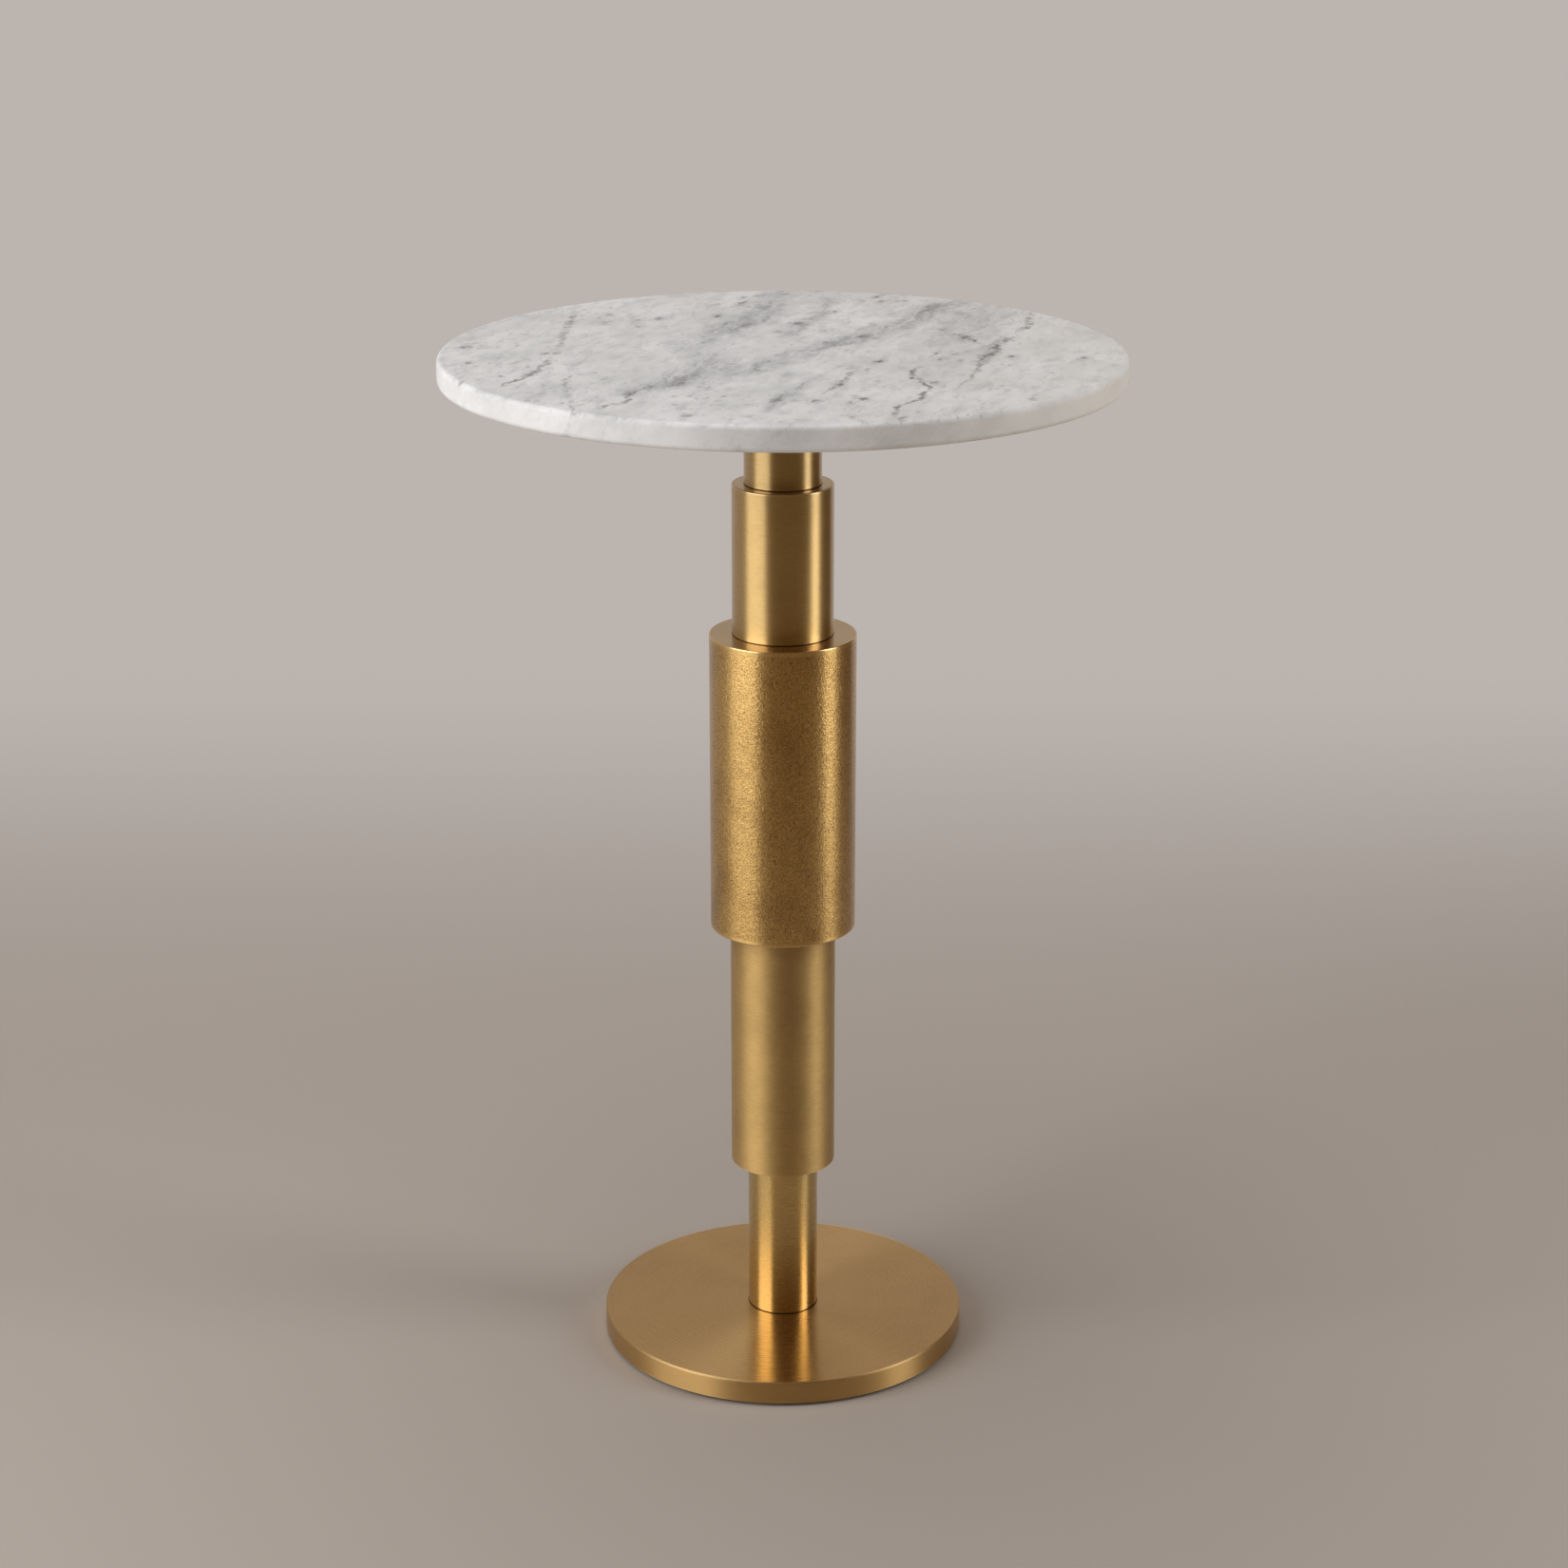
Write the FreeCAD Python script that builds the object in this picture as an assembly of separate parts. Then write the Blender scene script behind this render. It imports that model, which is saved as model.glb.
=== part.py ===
"""Wine table: a round marble top on a stepped brass column with a heavy round foot.

Millimetres, +Z up, origin on the floor in the middle of the foot.
The column is a stack of tubes and caps. One steel rod runs through the stack, from a
threaded boss under the top to a nut in the foot, and draws the stack tight.
"""

import FreeCAD, Part
import math
import os

# Marble top
top_diameter = 400.0
top_thickness = 15.0
top_edge_radius = 3.0  # rounding of the upper and the lower rim

# Fixing under the marble: gasket, steel plate, screws and bonded inserts
gasket_thickness = 1.0
gasket_inset = 2.0  # from the plate's rim
plate_thickness = 4.0
plate_margin = 12.0  # from the screw washers out to the plate's rim
plate_chamfer = 0.8
screw_count = 4
screw_circle_diameter = 110.0
screw_diameter = 5.0
screw_hole_clearance = 0.25
screw_head_diameter = 9.5
screw_head_height = 2.75
screw_head_edge = 0.55  # straight rim below the head's dome
screw_socket_width = 3.0  # across flats
screw_socket_depth = 1.6
screw_tip_chamfer = 0.6
screw_washer_diameter = 12.0
screw_washer_thickness = 1.0
screw_end_gap = 2.0  # thread of the insert left free above the screw
insert_diameter = 8.0
insert_length = 9.0
insert_bond = 0.1  # glue line round and above an insert

# Column, from the top down
neck_diameter = 46.0
neck_length = 58.0
neck_wall = 2.0
upper_sleeve_diameter = 60.5
upper_sleeve_length = 91.0
drum_diameter = 88.0
drum_length = 184.0
drum_wall = 3.0
lower_sleeve_diameter = 64.0
lower_sleeve_length = 156.0
sleeve_wall = 3.0
stem_diameter = 43.0
stem_length = 99.0
stem_wall = 2.0
tube_chamfer = 0.6  # broken outer edge of each tube
slip_clearance = 0.1  # radial gap of a cap, spigot, plug or boss in its tube

# Caps that close a tube's end and carry a spigot for the next, slimmer tube
cap_thickness = 4.0
cap_lip = 1.5  # tube wall left outside a cap
spigot_height = 8.0
spigot_lead = 1.0

# Foot
base_diameter = 224.0
base_thickness = 14.0
base_edge_radius = 1.5
base_foot_chamfer = 0.5
glide_inset = 6.0  # from the foot's rim
glide_thickness = 3.0
glide_recess = 1.0  # depth that the rubber glide is let into the foot
glide_clearance = 0.3
foot_plug_thickness = 10.0

# Rod and its fasteners
rod_diameter = 8.0
rod_chamfer = 0.8
rod_hole_clearance = 0.25
rod_end_gap = 1.0  # from the rod's upper end to the plate's upper face
rod_tail = 1.0  # rod below the nut
thread_clearance = 0.05
boss_length = 18.0
nut_width = 13.0  # across flats
nut_chamfer = 0.6
base_nut_height = 4.0
lock_nut_height = 6.5
base_washer_diameter = 24.0
base_washer_thickness = 2.0
lock_washer_diameter = 14.8
lock_washer_thickness = 2.0
lock_washer_slit = 1.5
well_clearance = 2.0  # round the washer, for a socket spanner
well_headroom = 0.5  # from the rod's lower end to the glide

# Heights of the stack
base_bottom = glide_thickness - glide_recess
base_top = base_bottom + base_thickness
stem_top = base_top + stem_length
lower_sleeve_top = stem_top + lower_sleeve_length
drum_top = lower_sleeve_top + drum_length
upper_sleeve_top = drum_top + upper_sleeve_length
neck_top = upper_sleeve_top + neck_length
plate_top = neck_top + plate_thickness
gasket_top = plate_top + gasket_thickness

# Heights of the rod's fasteners
rod_bottom = glide_thickness + well_headroom
rod_top = plate_top - rod_end_gap
base_nut_bottom = rod_bottom + rod_tail
lock_washer_bottom = base_nut_bottom + base_nut_height
base_washer_bottom = lock_washer_bottom + lock_washer_thickness
well_top = base_washer_bottom + base_washer_thickness
boss_bottom = neck_top - boss_length

# Radii that fit one piece to another
rod_radius = rod_diameter / 2
rod_hole_radius = rod_radius + rod_hole_clearance
rod_thread_radius = rod_radius + thread_clearance
neck_bore = neck_diameter / 2 - neck_wall
upper_sleeve_bore = upper_sleeve_diameter / 2 - sleeve_wall
lower_sleeve_bore = lower_sleeve_diameter / 2 - sleeve_wall
stem_bore = stem_diameter / 2 - stem_wall
glide_radius = base_diameter / 2 - glide_inset
plate_radius = (screw_circle_diameter + screw_washer_diameter) / 2 + plate_margin
screw_hole_radius = screw_diameter / 2 + screw_hole_clearance

same_place = 1e-6  # two measures closer than this are one
up = FreeCAD.Vector(0, 0, 1)
on_axis = FreeCAD.Vector(0, 0, 0)


def turned(outline):
    """A solid turned about Z from the corners (radius, height) of its section."""
    corners = [FreeCAD.Vector(radius, 0, height) for radius, height in outline]
    section = Part.Face(Part.makePolygon(corners + corners[:1]))
    return section.revolve(on_axis, up, 360)


def ring(outer, inner, bottom, top):
    """A flat ring or plain bush."""
    return turned([(inner, bottom), (outer, bottom), (outer, top), (inner, top)])


def disc(radius, bottom, top):
    """A plain cylinder on the axis."""
    return Part.makeCylinder(radius, top - bottom, FreeCAD.Vector(0, 0, bottom))


def round_rim(solid, radius, height, rounding):
    """The solid with its circular edge at that radius and height rounded."""

    def on_rim(edge):
        if not isinstance(edge.Curve, Part.Circle):
            return False
        same_radius = abs(edge.Curve.Radius - radius) < same_place
        return same_radius and abs(edge.Curve.Center.z - height) < same_place

    return solid.makeFillet(rounding, [edge for edge in solid.Edges if on_rim(edge)])


def hexagon(width, bottom, top):
    """A hexagonal prism on the axis, measured across its flats."""
    corner = width / 2 / math.cos(math.pi / 6)
    turns = [math.radians(60 * step) for step in range(7)]
    outline = Part.makePolygon(
        [FreeCAD.Vector(corner * math.cos(t), corner * math.sin(t), bottom) for t in turns]
    )
    return Part.Face(outline).extrude(up * (top - bottom))


def round_the_circle(solid):
    """Copies of a solid on the axis, moved out to each place on the screw circle."""
    copies = []
    for step in range(screw_count):
        copy = solid.copy()
        copy.translate(FreeCAD.Vector(screw_circle_diameter / 2, 0, 0))
        copy.rotate(on_axis, up, 360 * (step + 0.5) / screw_count)
        copies.append(copy)
    return Part.makeCompound(copies)


def tube(diameter, bore, bottom, top, seat_below=False, seat_above=False):
    """A tube with broken outer edges, rebated at the ends where a cap is let in flush."""
    outer = diameter / 2
    seat = outer - cap_lip
    outline = [
        (outer - tube_chamfer, bottom),
        (outer, bottom + tube_chamfer),
        (outer, top - tube_chamfer),
        (outer - tube_chamfer, top),
    ]
    if seat_above:
        outline += [(seat, top), (seat, top - cap_thickness)]
        outline += [(bore, top - cap_thickness)]
    else:
        outline += [(bore, top)]
    if seat_below:
        outline += [(bore, bottom + cap_thickness)]
        outline += [(seat, bottom + cap_thickness), (seat, bottom)]
    else:
        outline += [(bore, bottom)]
    return turned(outline)


def cap(diameter, face, next_bore, side):
    """A cap let into a tube's end: its outer face lies at height face, and side is +1 or -1
    where the face looks up or down. Its spigot fits the bore of the next tube."""
    rim = diameter / 2 - cap_lip - slip_clearance
    spigot = next_bore - slip_clearance
    back = face - side * cap_thickness
    tip = face + side * spigot_height
    return turned(
        [
            (rod_hole_radius, back),
            (rim, back),
            (rim, face),
            (spigot, face),
            (spigot, tip - side * spigot_lead),
            (spigot - spigot_lead, tip),
            (rod_hole_radius, tip),
        ]
    )


def hex_nut(bottom, top):
    """A nut on the rod, with its corners chamfered at both faces."""
    across_corners = nut_width / math.cos(math.pi / 6) / 2
    rim = across_corners - nut_chamfer
    envelope = turned(
        [
            (rod_thread_radius, bottom),
            (rim, bottom),
            (across_corners, bottom + nut_chamfer),
            (across_corners, top - nut_chamfer),
            (rim, top),
            (rod_thread_radius, top),
        ]
    )
    return hexagon(nut_width, bottom, top).common(envelope)


def marble_top():
    """The marble disc, with blind holes below for the inserts."""
    radius = top_diameter / 2
    height = gasket_top + top_thickness
    slab = disc(radius, gasket_top, height)
    slab = round_rim(slab, radius, height, top_edge_radius)
    slab = round_rim(slab, radius, gasket_top, top_edge_radius)
    hole = disc(insert_diameter / 2 + insert_bond, gasket_top, gasket_top + insert_length + insert_bond)
    return slab.cut(round_the_circle(hole))


def marble_inserts():
    """Threaded bushes bonded into the marble."""
    thread = screw_diameter / 2 + thread_clearance
    bush = ring(insert_diameter / 2, thread, gasket_top, gasket_top + insert_length)
    return round_the_circle(bush)


def top_gasket():
    """The thin rubber disc between the plate and the marble."""
    sheet = ring(plate_radius - gasket_inset, rod_hole_radius, plate_top, gasket_top)
    return sheet.cut(round_the_circle(disc(screw_hole_radius, plate_top, gasket_top)))


def top_plate():
    """The steel plate that spreads the column's load under the marble."""
    plate = turned(
        [
            (rod_hole_radius, neck_top),
            (plate_radius - plate_chamfer, neck_top),
            (plate_radius, neck_top + plate_chamfer),
            (plate_radius, plate_top),
            (rod_hole_radius, plate_top),
        ]
    )
    return plate.cut(round_the_circle(disc(screw_hole_radius, neck_top, plate_top)))


def top_boss():
    """The threaded boss under the plate, which takes the rod and centres the neck."""
    return ring(neck_bore - slip_clearance, rod_thread_radius, boss_bottom, neck_top)


def top_screw_washers():
    """Flat washers under the screw heads."""
    washer = ring(
        screw_washer_diameter / 2, screw_hole_radius, neck_top - screw_washer_thickness, neck_top
    )
    return round_the_circle(washer)


def top_screws():
    """Button-head screws, driven upwards through the plate into the inserts."""
    seat = neck_top - screw_washer_thickness
    crown = seat - screw_head_height
    tip = gasket_top + insert_length - screw_end_gap
    radius = screw_diameter / 2
    head = disc(screw_head_diameter / 2, crown, seat)
    head = round_rim(head, screw_head_diameter / 2, crown, screw_head_height - screw_head_edge)
    shank = disc(radius, seat, tip - screw_tip_chamfer)
    point = Part.makeCone(
        radius, radius - screw_tip_chamfer, screw_tip_chamfer, FreeCAD.Vector(0, 0, tip - screw_tip_chamfer)
    )
    screw = head.fuse([shank, point]).removeSplitter()
    socket = hexagon(screw_socket_width, crown, crown + screw_socket_depth)
    return round_the_circle(screw.cut(socket))


def base_plate():
    """The heavy foot: recessed below for the glide, with a well for the rod's nut."""
    radius = base_diameter / 2
    recess = glide_radius + glide_clearance
    well = base_washer_diameter / 2 + well_clearance
    foot = turned(
        [
            (recess, base_bottom),
            (radius - base_foot_chamfer, base_bottom),
            (radius, base_bottom + base_foot_chamfer),
            (radius, base_top),
            (rod_hole_radius, base_top),
            (rod_hole_radius, well_top),
            (well, well_top),
            (well, glide_thickness),
            (recess, glide_thickness),
        ]
    )
    return round_rim(foot, radius, base_top, base_edge_radius)


def tie_rod():
    """The rod through the whole column, plain at its thread's outer diameter."""
    end = rod_radius - rod_chamfer
    shaft = disc(rod_radius, rod_bottom + rod_chamfer, rod_top - rod_chamfer)
    lower_end = Part.makeCone(end, rod_radius, rod_chamfer, FreeCAD.Vector(0, 0, rod_bottom))
    upper_end = Part.makeCone(rod_radius, end, rod_chamfer, FreeCAD.Vector(0, 0, rod_top - rod_chamfer))
    return shaft.fuse([lower_end, upper_end]).removeSplitter()


def base_lock_washer():
    """The split washer between the flat washer and the nut."""
    washer = ring(lock_washer_diameter / 2, rod_hole_radius, lock_washer_bottom, base_washer_bottom)
    slit = Part.makeBox(
        lock_washer_diameter / 2,
        lock_washer_slit,
        lock_washer_thickness,
        FreeCAD.Vector(0, -lock_washer_slit / 2, lock_washer_bottom),
    )
    return washer.cut(slit)


pieces = {
    "marble_top": marble_top(),
    "marble_inserts": marble_inserts(),
    "top_gasket": top_gasket(),
    "top_plate": top_plate(),
    "top_boss": top_boss(),
    "top_screw_washers": top_screw_washers(),
    "top_screws": top_screws(),
    "neck_tube": tube(neck_diameter, neck_bore, upper_sleeve_top, neck_top),
    "upper_sleeve_cap": cap(upper_sleeve_diameter, upper_sleeve_top, neck_bore, +1),
    "upper_sleeve_tube": tube(
        upper_sleeve_diameter, upper_sleeve_bore, drum_top, upper_sleeve_top, seat_above=True
    ),
    "drum_top_cap": cap(drum_diameter, drum_top, upper_sleeve_bore, +1),
    "drum_shell": tube(
        drum_diameter,
        drum_diameter / 2 - drum_wall,
        lower_sleeve_top,
        drum_top,
        seat_below=True,
        seat_above=True,
    ),
    "drum_bottom_cap": cap(drum_diameter, lower_sleeve_top, lower_sleeve_bore, -1),
    "lower_sleeve_tube": tube(
        lower_sleeve_diameter, lower_sleeve_bore, stem_top, lower_sleeve_top, seat_below=True
    ),
    "lower_sleeve_cap": cap(lower_sleeve_diameter, stem_top, stem_bore, -1),
    "stem_tube": tube(stem_diameter, stem_bore, base_top, stem_top),
    "stem_foot_plug": ring(
        stem_bore - slip_clearance, rod_hole_radius, base_top, base_top + foot_plug_thickness
    ),
    "base_plate": base_plate(),
    "base_glide": disc(glide_radius, 0, glide_thickness),
    "tie_rod": tie_rod(),
    "rod_lock_nut": hex_nut(boss_bottom - lock_nut_height, boss_bottom),
    "base_washer": ring(base_washer_diameter / 2, rod_hole_radius, base_washer_bottom, well_top),
    "base_lock_washer": base_lock_washer(),
    "base_nut": hex_nut(base_nut_bottom, lock_washer_bottom),
}

os.makedirs("parts", exist_ok=True)
for name, shape in pieces.items():
    shape.exportStep(f"parts/{name}.step")
    print(name, len(shape.Solids), "solid(s)", round(shape.Volume / 1000, 2), "cm3", shape.isValid())
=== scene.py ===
import math

import bpy
import numpy as np
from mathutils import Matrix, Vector


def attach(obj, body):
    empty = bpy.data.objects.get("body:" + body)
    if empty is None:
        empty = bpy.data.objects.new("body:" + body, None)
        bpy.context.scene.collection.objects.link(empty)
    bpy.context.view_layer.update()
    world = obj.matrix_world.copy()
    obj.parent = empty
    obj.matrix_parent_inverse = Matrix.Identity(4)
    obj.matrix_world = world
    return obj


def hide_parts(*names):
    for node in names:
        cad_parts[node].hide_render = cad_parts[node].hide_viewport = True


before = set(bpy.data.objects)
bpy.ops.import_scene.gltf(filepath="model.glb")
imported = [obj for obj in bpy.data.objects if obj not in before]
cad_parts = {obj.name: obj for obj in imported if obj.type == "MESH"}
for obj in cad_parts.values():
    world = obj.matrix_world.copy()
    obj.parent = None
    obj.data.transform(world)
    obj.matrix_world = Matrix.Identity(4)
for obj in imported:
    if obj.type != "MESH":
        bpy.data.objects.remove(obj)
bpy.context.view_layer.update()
mm = 0.001  # the scene is in metres


# Mesh tools

def spanOf(node):
    # least and greatest radius about the axis, lowest and highest z of a turned CAD node
    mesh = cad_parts[node].data
    points = np.empty(len(mesh.vertices) * 3)
    mesh.vertices.foreach_get("co", points)
    x, y, z = points.reshape(-1, 3).T
    reach = np.hypot(x, y)
    return reach.min(), reach.max(), z.min(), z.max()


def roundedOutline(corners, arcSteps=6, support=0.4 * mm):
    # a closed outline of (radius, z, rounding, sheen and shade) corners: the arc at a corner touches both
    # sides at rounding / tan(half the corner's angle), and a support point follows a little further on; the
    # third column of the result is 1 where an edge is worn and painted lighter as a highlight and -1 where
    # a joint is painted dark as shade, and a rounded corner without a value of its own gets the painted
    # highlight
    spots = np.array([corner[:2] for corner in corners])
    outline = []
    for last, spot, nextSpot, corner in zip(np.roll(spots, 1, 0), spots, np.roll(spots, -1, 0), corners):
        rounding = corner[2] if len(corner) > 2 else 0
        rubSheenShade = corner[3] if len(corner) > 3 else (1, 1) if rounding else 0
        if not rounding:
            outline.append((*spot, rubSheenShade))
            continue
        back = (last - spot) / np.linalg.norm(last - spot)
        ahead = (nextSpot - spot) / np.linalg.norm(nextSpot - spot)
        half = math.acos(np.clip(back @ ahead, -1, 1)) / 2
        cut = rounding / math.tan(half)
        centre = spot + (back + ahead) / np.linalg.norm(back + ahead) * rounding / math.sin(half)
        first, final = spot + back * cut - centre, spot + ahead * cut - centre
        sweep = math.pi - 2 * half
        step = np.linspace(0, 1, arcSteps)[:, None]
        arc = centre + (np.sin((1 - step) * sweep) * first + np.sin(step * sweep) * final) / math.sin(sweep)
        outline.append((*spot + back * (cut + support), min(rubSheenShade[0], 0)))
        outline.extend((*point, share) for point, share in zip(arc, np.linspace(*rubSheenShade, arcSteps)))
        outline.append((*spot + ahead * (cut + support), min(rubSheenShade[1], 0)))
    return np.array(outline)


def lathePiece(name, node, material, outline, segments, capped=False, sunk=0.0, sharpAngle=40):
    # the outline turned about Z, from the back round: point (i, j) is (r cos a_j, r sin a_j, z_i) with
    # r = r_i - sunk; it closes along the outline too, or has a flat face at both ends if it is capped
    rows = len(outline)
    turn = np.linspace(0, 2 * math.pi, segments, endpoint=False) + math.pi / 2
    radius = np.broadcast_to(outline[:, :1] - sunk, (rows, segments))
    height = np.broadcast_to(outline[:, 1:2], (rows, segments))
    points = np.stack([radius * np.cos(turn), radius * np.sin(turn), height], -1).reshape(-1, 3)
    i, j = np.meshgrid(np.arange(rows - capped), np.arange(segments), indexing="ij")
    below, beside = (i + 1) % rows, (j + 1) % segments
    corners = [i * segments + j, i * segments + beside, below * segments + beside, below * segments + j]
    faces = np.stack(corners, -1).reshape(-1, 4).tolist()
    # U runs along the outline and V round the axis, both in metres
    path = np.linalg.norm(np.roll(outline[:, :2], -1, 0) - outline[:, :2], axis=1)
    u = np.concatenate([[0], np.cumsum(path)])
    v = np.linspace(0, 2 * math.pi * outline[:, 0].max(), segments + 1)
    uv = np.stack([np.stack([u[i + a], v[j + b]], -1) for a, b in ((0, 0), (0, 1), (1, 1), (1, 0))], -2)
    uv = uv.reshape(-1, 2)
    if capped:
        first, final = np.arange(segments), (rows - 1) * segments + np.arange(segments)
        faces += [first[::-1].tolist(), final.tolist()]
        uv = np.concatenate([uv, np.zeros((2 * segments, 2))])
    mesh = bpy.data.meshes.new(name)
    mesh.from_pydata(points, [], faces)
    mesh.uv_layers.new(name="lathe").data.foreach_set("uv", uv.ravel())
    # 1 on worn edges that are painted lighter as a highlight, -1 in joints that are painted dark as shade
    wearSheenShade = np.repeat(outline[:, 2], segments)
    mesh.attributes.new("wearSheenShade", "FLOAT", "POINT").data.foreach_set("value", wearSheenShade)
    mesh.shade_smooth()
    mesh.set_sharp_from_angle(angle=math.radians(sharpAngle))
    mesh.materials.append(material)
    piece = bpy.data.objects.new(name, mesh)
    bpy.context.scene.collection.objects.link(piece)
    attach(piece, "root")
    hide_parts(node)
    return piece


# Material tools

def linear(hexColour):
    # sRGB hex to linear: c / 12.92 where c is at most 0.04045, else ((c + 0.055) / 1.055) ** 2.4
    srgb = np.array([int(hexColour[k:k + 2], 16) for k in (1, 3, 5)]) / 255
    rgb = np.where(srgb <= 0.04045, srgb / 12.92, ((srgb + 0.055) / 1.055) ** 2.4)
    return (*rgb, 1.0)


def addNode(tree, kind, inputs=None, **settings):
    # one node: settings are its properties; inputs fill its sockets, or link another node's output
    node = tree.nodes.new("ShaderNode" + kind)
    for key, value in settings.items():
        setattr(node, key, value)
    for key, value in (inputs or {}).items():
        if isinstance(value, bpy.types.Node):
            value = value.outputs[0]
        if isinstance(value, bpy.types.NodeSocket):
            tree.links.new(value, node.inputs[key])
        else:
            node.inputs[key].default_value = value
    return node


def newMaterial(name):
    # an empty material, its node tree and its surface socket
    material = bpy.data.materials.new(name)
    material.use_nodes = True
    tree = material.node_tree
    tree.nodes.clear()
    return material, tree, addNode(tree, "OutputMaterial").inputs["Surface"]


def setCurve(node, spots):
    # the spots (x, y), from left to right, become the points of a Float Curve node
    curve = node.mapping.curves[0]
    while len(curve.points) < len(spots):
        curve.points.new(0.5, 0.5)
    for point, spot in zip(curve.points, spots):
        point.location = spot
        point.handle_type = "AUTO_CLAMPED"
    node.mapping.update()


# Aged brass, brushed while it turned on a lathe and then lacquered: hair lines run round the axis, so
# a highlight stays narrow across them and draws out along the outline; a thin brown tarnish dulls it,
# edges rubbed bright by wear are painted lighter still as a highlight, joints are painted dark as shade,
# and the clear lacquer adds a pale gleam. Hair lines of 0.1 mm would not show, so they are drawn
# 0.55 mm wide

# sizes are in mm; marks are (spacing, size, share of the places that have one, depth of the deepest), and
# levels are the two values between which a noise goes from nothing to its full effect
# the palest colour paints worn edges lighter as a highlight, and the near-black one paints shade into the
# joints
brushedLook = dict(
    light="#C8A86B", dark="#BE9C61", tarnish="#7A5A32", rubbedSheenColour="#E2C590", jointShade="#24190E",
    rubbedSheenShare=0.6, jointShadeShare=0.95, edgeRough=-0.08, lineWidth=0.55, lineLength=6.0, lineLevels=(0.3, 0.7),
    tarnishSize=45.0, tarnishShare=0.28, tarnishLevels=(0.45, 0.75), roughness=(0.42, 0.45),
    anisotropy=0.9, bump=0.0014, marks=[(24.0, 0.45, 0.25, 0.9)], markCore=0.4, lacquer=0.70,
    lacquerRoughness=0.22)
mattLook = dict(brushedLook, roughness=(0.59, 0.63), anisotropy=0.72, lacquer=0.35)
brightLook = dict(brushedLook, light="#D5B674", dark="#CDAC69", roughness=(0.26, 0.30), anisotropy=0.92,
                  tarnishShare=0.15, bump=0.001, lacquer=0.55)
polishedLook = dict(brushedLook, roughness=(0.19, 0.22), anisotropy=0.3, lineLength=20.0, bump=0.0005,
                    lacquer=0.30)

# the foot's upright rim is duller than its top, from the radii of the rim's band on
turnedLook = dict(
    brushedLook, light="#C7A266", dark="#C19B61", lineWidth=0.7, lineLength=25.0, tarnishSize=60.0,
    tarnishShare=0.15, rubbedSheenShare=0.2, edgeRough=0.15, rimBand=(111.0, 111.5), rimRough=0.14,
    roughness=(0.26, 0.28), bump=0.0005, lacquer=0.25, lacquerRoughness=0.32)

# the drum is beaten with a fine punch as well: ripples about 1 mm apart, dark in their valleys, and
# dents of all depths among them; the beating starts over the plain band inside both ends
drumLow, drumHigh = spanOf("drum_shell")[2:]
hammeredLook = dict(
    brushedLook, middle=(drumLow + drumHigh) / 2, reach=(drumHigh - drumLow) / 2, plainBand=(1.5, 3.5),
    light="#D9B46D", dark="#CDA564", tarnish="#7A5428", lineWidth=1.2, lineLength=4.0,
    roughness=(0.32, 0.38), anisotropy=0.72, rippleSize=1.0, rippleDepth=0.09, rippleShade=0.40,
    rippleLevels=(0.62, 0.38), dentDepth=0.03, lacquer=0.40, tarnishSize=38.0, tarnishShare=0.36,
    marks=[(1.7, 0.6, 0.8, 0.8), (5.0, 0.8, 0.5, 1.0)])


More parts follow.
